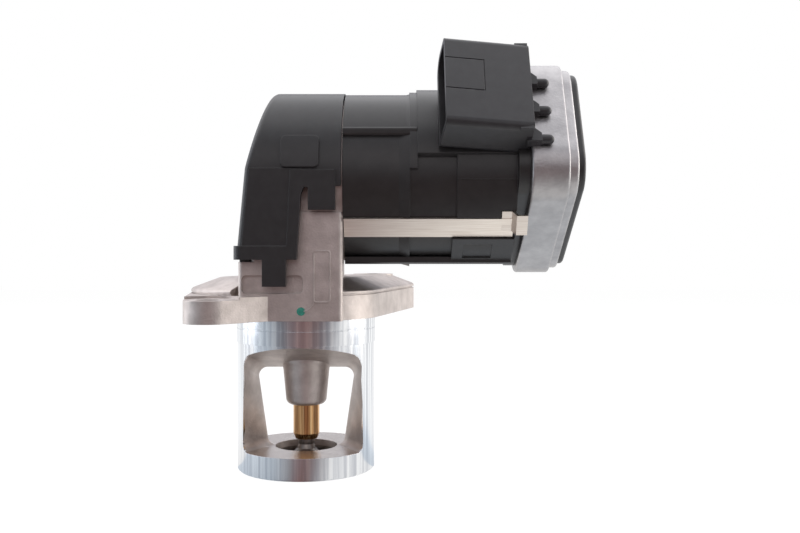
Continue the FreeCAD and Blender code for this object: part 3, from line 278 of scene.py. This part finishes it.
def turned_metal(name, dark, light, roughness, axis, ring_mm=3.77, streak_mm=3.0):
    """Turned metal: bright, with rings round its axis and streaks of this length along it. The real rings are
    about 0.15 mm apart, too fine for the render, and are drawn further apart."""
    streak_width_mm = 1.6
    material, tree = blank_material(name)
    coords = add_node(tree, "ShaderNodeTexCoord")
    across = 1.0 / (streak_width_mm * mm)
    along = 1.0 / (streak_mm * mm)
    scale = (along, across, across) if axis == "X" else (across, across, along)
    drawn = add_node(tree, "ShaderNodeMapping", {"Scale": scale}, {"Vector": coords.outputs["Object"]})
    streaks = add_node(tree, "ShaderNodeTexNoise", {"Scale": 1.0, "Detail": 3.0},
                       {"Vector": drawn.outputs[0]})
    tint = add_node(tree, "ShaderNodeValToRGB", None, {"Fac": streaks.outputs["Fac"]})
    set_stops(tint, [(0.35, dark), (0.62, light)])
    rings = add_node(tree, "ShaderNodeTexWave",
                     {"wave_type": "BANDS", "bands_direction": axis,
                      "Scale": wave_repeat / (ring_mm * mm), "Distortion": 0.4},
                     {"Vector": coords.outputs["Object"]})
    worn = add_node(tree, "ShaderNodeBevel", {"samples": 4, "Radius": 0.15 * mm})
    bump = add_node(tree, "ShaderNodeBump", {"Strength": 0.3, "Distance": 0.01 * mm},
                    {"Height": rings.outputs["Fac"], "Normal": worn.outputs["Normal"]})
    tangent = add_node(tree, "ShaderNodeTangent", {"direction_type": "RADIAL", "axis": axis})
    metal = add_node(tree, "ShaderNodeBsdfPrincipled",
                     {"Metallic": 1.0, "Roughness": roughness, "Anisotropic": 0.35},
                     {"Base Color": tint.outputs["Color"], "Normal": bump.outputs["Normal"],
                      "Tangent": tangent.outputs["Tangent"]})
    add_node(tree, "ShaderNodeOutputMaterial", None, {"Surface": metal.outputs["BSDF"]})
    return material


housing = smooth_copy("valve_housing", "valve_housing_finished", sharp_degrees=32.0)
weighting = housing.modifiers.new("face_weighting", "WEIGHTED_NORMAL")
weighting.keep_sharp = True
bpy.ops.object.modifier_apply(modifier=weighting.name)
housing.data.materials.append(cast_aluminium("cast_aluminium", "bcb3ae", "d8cfca", 0.5, grain_mm=0.7))
housing.data.materials.append(turned_metal("turned_aluminium", "c6c9cf", "eff1f3", 0.16, "Z", streak_mm=60.0))
# Cage floor: a milled finish that is smoother than the cast skin, in a lighter colour that is painted light
# lifting the shade inside the cage.
housing.data.materials.append(cast_aluminium("milled_and_lightened_aluminium", "d8cec7", "e8e0da", 0.24, grain_mm=0.5))
turned_slot = 1
milled_lightened_slot = 2
spigot_r = 25.4 * mm
machining_depth = 0.9 * mm
cage_floor_z = -47.6 * mm
floor_tolerance = 0.1 * mm
underside_tolerance = 0.05 * mm
level = 0.9
for face in housing.data.polygons:
    from_axis = math.hypot(face.center.x, face.center.y)
    on_spigot = face.center.z < 0.0 and from_axis > spigot_r - machining_depth
    # Faces of the cage floor, which get the lighter milled material with its painted light.
    on_floor = abs(face.center.z - cage_floor_z) < floor_tolerance and face.normal.z > level
    under_flange = abs(face.center.z) < underside_tolerance and abs(face.normal.z) > level
    if on_spigot or under_flange:
        face.material_index = turned_slot
    elif on_floor:
        face.material_index = milled_lightened_slot
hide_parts("valve_housing")
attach(housing, "housing")


# Seat ring and stem guide: a hard steel ring pressed into the cage floor, and a bronze tube pressed into the
# boss. The guide's outside is drawn, with straight golden brown streaks along it.
def finish(node, material):
    """Gives a CAD piece its material."""
    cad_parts[node].data.materials.clear()
    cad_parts[node].data.materials.append(material)


finish("seat_ring", turned_metal("seat_steel", "7c746f", "96908b", 0.32, "Z"))

drawn_bronze, tree = blank_material("drawn_bronze")
coords = add_node(tree, "ShaderNodeTexCoord")
across = 1.0 / (0.5 * mm)
along = 1.0 / (40.0 * mm)
stretched = add_node(tree, "ShaderNodeMapping", {"Scale": (across, across, along)},
                     {"Vector": coords.outputs["Object"]})
streaks = add_node(tree, "ShaderNodeTexNoise", {"Scale": 1.0, "Detail": 2.0},
                   {"Vector": stretched.outputs[0]})
tint = add_node(tree, "ShaderNodeValToRGB", None, {"Fac": streaks.outputs["Fac"]})
set_stops(tint, [(0.35, "a5744a"), (0.55, "e2b07a"), (0.68, "fae0ac")])
drawn_bump = add_node(tree, "ShaderNodeBump", {"Strength": 0.5, "Distance": 0.02 * mm},
                      {"Height": streaks.outputs["Fac"]})
bronze = add_node(tree, "ShaderNodeBsdfPrincipled", {"Metallic": 1.0, "Roughness": 0.3},
                  {"Base Color": tint.outputs["Color"], "Normal": drawn_bump.outputs["Normal"]})
add_node(tree, "ShaderNodeOutputMaterial", None, {"Surface": bronze.outputs["BSDF"]})
finish("stem_guide", drawn_bronze)


# Poppet valve: one forged and ground steel piece, with a tulip under the seat and a stem up to the yoke.
# Heat and soot leave it darker than the other steel, with rings from the grinding.
finish("poppet_valve", turned_metal("ground_valve_steel", "6e6863", "8c857f", 0.3, "Z", ring_mm=2.51))


# Valve spring and its fittings: a wound spring with a pressed seat and retainer, two collets and a rubber stem
# seal. Spring steel is oiled dark, and the seal is dull black fluorine rubber.
def plain_metal(name, dark, light, roughness):
    """Steel that is pressed, rolled or wound: even and satin, with faint scuffs."""
    material, tree = blank_material(name)
    metal = add_node(tree, "ShaderNodeBsdfPrincipled", {"Metallic": 1.0, "Roughness": roughness},
                     {"Base Color": mottled(tree, 3.0, dark, light),
                      "Normal": grain(tree, 0.3, 0.01, 0.1).outputs["Normal"]})
    add_node(tree, "ShaderNodeOutputMaterial", None, {"Surface": metal.outputs["BSDF"]})
    return material


oiled_steel = plain_metal("oiled_spring_steel", "4e4c4b", "64615f", 0.38)
for node in ("spring_seat", "spring_retainer", "stem_collets", "roller_clip", "holder_screws"):
    finish(node, oiled_steel)

# Moulded rubber is near black and without shine, with a dusty bloom in patches.
rubber, tree = blank_material("fluorine_rubber")
dull = add_node(tree, "ShaderNodeBsdfPrincipled", {"Roughness": 0.75, "IOR": 1.52},
                {"Base Color": mottled(tree, 2.0, "171616", "232121"),
                 "Normal": grain(tree, 0.2, 0.01, 0.2).outputs["Normal"]})
add_node(tree, "ShaderNodeOutputMaterial", None, {"Surface": dull.outputs["BSDF"]})
for node in ("stem_seal", "cover_gasket", "lid_seal"):
    finish(node, rubber)

# The spring stands on its seat. The real one gets shorter as the valve opens; here it is a merged copy with a
# mesh of its own.
spring = smooth_copy("return_spring", "return_spring_wound", sharp_degrees=40.0)
spring.data.materials.append(oiled_steel)
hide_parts("return_spring")
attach(spring, "housing")
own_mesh(spring)


# Drive: a yoke on the stem with a level slot, and a crank on the motor shaft whose roller runs in the slot.
# Yoke and crank are sintered steel, matt and full of fine pores, and the shaft and roller are ground bright.
sintered_steel, tree = blank_material("sintered_steel")
pores_per_metre = 1.0 / (0.25 * mm)
coords = add_node(tree, "ShaderNodeTexCoord")
pores = add_node(tree, "ShaderNodeTexVoronoi", {"Scale": pores_per_metre},
                 {"Vector": coords.outputs["Object"]})
pitted = add_node(tree, "ShaderNodeBump", {"Strength": 0.6, "Distance": 0.02 * mm},
                  {"Height": pores.outputs["Distance"]})
sintered = add_node(tree, "ShaderNodeBsdfPrincipled", {"Metallic": 1.0, "Roughness": 0.48},
                    {"Base Color": mottled(tree, 2.0, "6a6866", "82807d"),
                     "Normal": pitted.outputs["Normal"]})
add_node(tree, "ShaderNodeOutputMaterial", None, {"Surface": sintered.outputs["BSDF"]})
finish("stem_yoke", sintered_steel)
finish("crank", sintered_steel)
ground_shaft = turned_metal("ground_shaft_steel", "a6a6a8", "b8b8ba", 0.18, "X", ring_mm=1.885)
finish("motor_shaft", ground_shaft)
finish("drive_roller", ground_shaft)


# Armature: a stack of stamped electrical steel sheets on the shaft, wound with varnished copper wire.
# The sheets show as rings round the stack, and the windings shine red brown under their varnish.
# Sheets and wire are 0.5 mm thick and are drawn coarser: a band stands for about six sheets or seven wires.
band_mm = 3.1416
stamped_stack, tree = blank_material("stamped_steel_stack")
coords = add_node(tree, "ShaderNodeTexCoord")
sheets = add_node(tree, "ShaderNodeTexWave",
                  {"wave_type": "BANDS", "bands_direction": "X", "Scale": wave_repeat / (band_mm * mm)},
                  {"Vector": coords.outputs["Object"]})
stacked = add_node(tree, "ShaderNodeBump", {"Strength": 0.8, "Distance": 0.05 * mm},
                   {"Height": sheets.outputs["Fac"]})
stack = add_node(tree, "ShaderNodeBsdfPrincipled", {"Metallic": 1.0, "Roughness": 0.42},
                 {"Base Color": mottled(tree, 2.5, "5f5d60", "77757a"),
                  "Normal": stacked.outputs["Normal"]})
add_node(tree, "ShaderNodeOutputMaterial", None, {"Surface": stack.outputs["BSDF"]})
finish("armature_core", stamped_stack)

varnished_copper, tree = blank_material("varnished_copper")
coords = add_node(tree, "ShaderNodeTexCoord")
turns = add_node(tree, "ShaderNodeTexWave",
                 {"wave_type": "BANDS", "bands_direction": "DIAGONAL",
                  "Scale": wave_repeat / (band_mm * mm), "Distortion": 1.5},
                 {"Vector": coords.outputs["Object"]})
wound = add_node(tree, "ShaderNodeBump", {"Strength": 1.0, "Distance": 0.12 * mm},
                 {"Height": turns.outputs["Fac"]})
copper = add_node(tree, "ShaderNodeBsdfPrincipled",
                  {"Metallic": 1.0, "Roughness": 0.35, "Coat Weight": 0.6, "Coat Roughness": 0.15},
                  {"Base Color": mottled(tree, 1.5, "8c4a2c", "b8683f"), "Normal": wound.outputs["Normal"]})
add_node(tree, "ShaderNodeOutputMaterial", None, {"Surface": copper.outputs["BSDF"]})
finish("armature_windings", varnished_copper)


# Commutator and brushes: hard copper bars polished by two blocks of carbon in a moulded holder.
# The carbon is soft, grey black and dusty.
finish("commutator", turned_metal("polished_copper", "b4714a", "c98660", 0.22, "X", ring_mm=1.885))
pressed_carbon, tree = blank_material("pressed_carbon")
carbon = add_node(tree, "ShaderNodeBsdfPrincipled", {"Roughness": 0.55, "IOR": 1.6},
                  {"Base Color": mottled(tree, 0.8, "1d1d1f", "323235"),
                   "Normal": grain(tree, 0.15, 0.01, 0.1).outputs["Normal"]})
add_node(tree, "ShaderNodeOutputMaterial", None, {"Surface": carbon.outputs["BSDF"]})
finish("carbon_brushes", pressed_carbon)


# Motor can, magnets and bushes: a deep drawn steel cup, plated, with two ferrite magnets and oiled bronze
# bushes. The ferrite is dark and slate grey, ground where it faces the armature.
finish("motor_can", plain_metal("plated_steel_cup", "8e8c88", "a3a19c", 0.3))
ferrite, tree = blank_material("ground_ferrite")
slate = add_node(tree, "ShaderNodeBsdfPrincipled", {"Roughness": 0.5, "IOR": 2.0},
                 {"Base Color": mottled(tree, 1.5, "2a2a2c", "3a3a3d"),
                  "Normal": grain(tree, 0.2, 0.01, 0.15).outputs["Normal"]})
add_node(tree, "ShaderNodeOutputMaterial", None, {"Surface": slate.outputs["BSDF"]})
finish("stator_magnets", ferrite)
finish("sensor_magnet", ferrite)
oiled_bronze = plain_metal("oiled_bronze", "7e5a34", "a37a4a", 0.4)
finish("front_bush", oiled_bronze)
finish("rear_bush", oiled_bronze)


# Drive cover: a shell of glass filled nylon, pushed over the tower and latched on its sides, on a rubber
# gasket. The mould was spark eroded, so the black skin is satin and very finely grained.
def moulded_nylon(name, dark, light, roughness, edge_mm):
    """Glass filled nylon from a spark eroded mould: black, satin and very finely grained."""
    material, tree = blank_material(name)
    skin = add_node(tree, "ShaderNodeBsdfPrincipled", {"Roughness": roughness, "IOR": 1.53},
                    {"Base Color": mottled(tree, 4.0, dark, light),
                     "Normal": grain(tree, 0.35, 0.02, edge_mm).outputs["Normal"]})
    add_node(tree, "ShaderNodeOutputMaterial", None, {"Surface": skin.outputs["BSDF"]})
    return material


cover_nylon = moulded_nylon("cover_nylon", "1c1b1d", "242325", 0.40, edge_mm=0.5)
finish("drive_cover", cover_nylon)
finish("brush_holder", cover_nylon)


# Motor housing: the longer nylon moulding that holds the motor can and carries the connector on its saddle.
# Flow of the melt round its core leaves it a little glossier along its length than the cover.
finish("motor_housing", moulded_nylon("housing_nylon", "1b1a1b", "232122", 0.36, edge_mm=0.3))


# Connector: the socket shell is moulded in one with the fins and pegs that hold it on the end cap, and holds
# five pins. Its nylon is a trace greyer than the housing, and the pins are tin plated copper blades.
finish("connector_shell", moulded_nylon("connector_nylon", "201f22", "29282b", 0.38, edge_mm=0.3))
finish("connector_pins", plain_metal("tinned_copper", "b4b2ae", "c8c6c2", 0.3))


# Retaining straps: two strips of stainless spring steel, hooked over the end cap and pulling the stack
# together. The rolled surface is brushed along the strip and reflects the bright table below.
brushed_strip, tree = blank_material("brushed_spring_strip")
coords = add_node(tree, "ShaderNodeTexCoord")
across = 1.0 / (0.25 * mm)
along = 1.0 / (12.0 * mm)
stretched = add_node(tree, "ShaderNodeMapping", {"Scale": (along, across, across)},
                     {"Vector": coords.outputs["Object"]})
scratches = add_node(tree, "ShaderNodeTexNoise", {"Scale": 1.0, "Detail": 3.0},
                     {"Vector": stretched.outputs[0]})
tint = add_node(tree, "ShaderNodeValToRGB", None, {"Fac": scratches.outputs["Fac"]})
set_stops(tint, [(0.3, "e4dacf"), (0.7, "faf3ea")])
brushed = add_node(tree, "ShaderNodeBump", {"Strength": 0.4, "Distance": 0.01 * mm},
                   {"Height": scratches.outputs["Fac"]})
strip = add_node(tree, "ShaderNodeBsdfPrincipled", {"Metallic": 1.0, "Roughness": 0.36},
                 {"Base Color": tint.outputs["Color"], "Normal": brushed.outputs["Normal"]})
add_node(tree, "ShaderNodeOutputMaterial", None, {"Surface": strip.outputs["BSDF"]})
finish("retaining_strap_front", brushed_strip)
finish("retaining_strap_rear", brushed_strip)


# End cap, lid and sensor board: a shallow aluminium casting closed by a nylon lid, over the sensor's board.
# The cap's skin is a cooler and finer grey than the valve housing, and the board has green solder resist.
finish("end_cap", cast_aluminium("cap_cast_aluminium", "a5a3a4", "bcbaba", 0.42, grain_mm=0.9))
finish("end_lid", moulded_nylon("lid_nylon", "1d1c1d", "262526", 0.42, edge_mm=0.3))
solder_resist, tree = blank_material("green_solder_resist")
board = add_node(tree, "ShaderNodeBsdfPrincipled", {"Roughness": 0.3, "IOR": 1.55},
                 {"Base Color": mottled(tree, 1.2, "12402a", "1b5a3a"),
                  "Normal": grain(tree, 0.4, 0.01, 0.1).outputs["Normal"]})
add_node(tree, "ShaderNodeOutputMaterial", None, {"Surface": board.outputs["BSDF"]})
finish("sensor_board", solder_resist)


# Test mark: a drop of green paint that the inspector puts on the front of the tower, low beside the raised
# line. The drop has dried domed, with a thin edge and a slight shine, and its back half is in the wall.
dot_place = (0.8 * mm, -28.0 * mm, 3.4 * mm)
dot_r = 1.45 * mm
dot_height = 0.26 * mm
dot_dome = 0.18 * mm
dot_step = 0.35 * dot_r
dot_edge = 0.12 * mm
bpy.ops.object.select_all(action="DESELECT")
bpy.ops.mesh.primitive_cylinder_add(vertices=40, radius=dot_r, depth=2 * dot_height, location=dot_place,
                                    rotation=(math.radians(90.0), 0.0, 0.0))
dot = bpy.context.active_object
dot.name = "paint_dot"
bpy.ops.object.transform_apply(location=True, rotation=True, scale=True)
bpy.ops.object.mode_set(mode="EDIT")
dot_mesh = bmesh.from_edit_mesh(dot.data)
for face in dot_mesh.faces:
    face.select = face.normal.y < -0.9
bmesh.update_edit_mesh(dot.data)
bpy.ops.mesh.inset(thickness=dot_step, depth=0.6 * dot_dome)
bpy.ops.mesh.inset(thickness=dot_step, depth=0.4 * dot_dome)
bpy.ops.object.mode_set(mode="OBJECT")
edge = dot.modifiers.new("soft_edge", "BEVEL")
edge.width = dot_edge
edge.segments = 3
edge.limit_method = "ANGLE"
edge.angle_limit = math.radians(50.0)
bpy.ops.object.modifier_apply(modifier=edge.name)
bpy.ops.object.shade_smooth()
# Air dried enamel: blue green, even, with slight thin places towards the edge.
paint, tree = blank_material("green_enamel")
enamel = add_node(tree, "ShaderNodeBsdfPrincipled", {"Roughness": 0.35, "IOR": 1.5},
                  {"Base Color": mottled(tree, 0.8, "1f6f62", "35907f")})
add_node(tree, "ShaderNodeOutputMaterial", None, {"Surface": enamel.outputs["BSDF"]})
dot.data.materials.append(paint)
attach(dot, "housing")
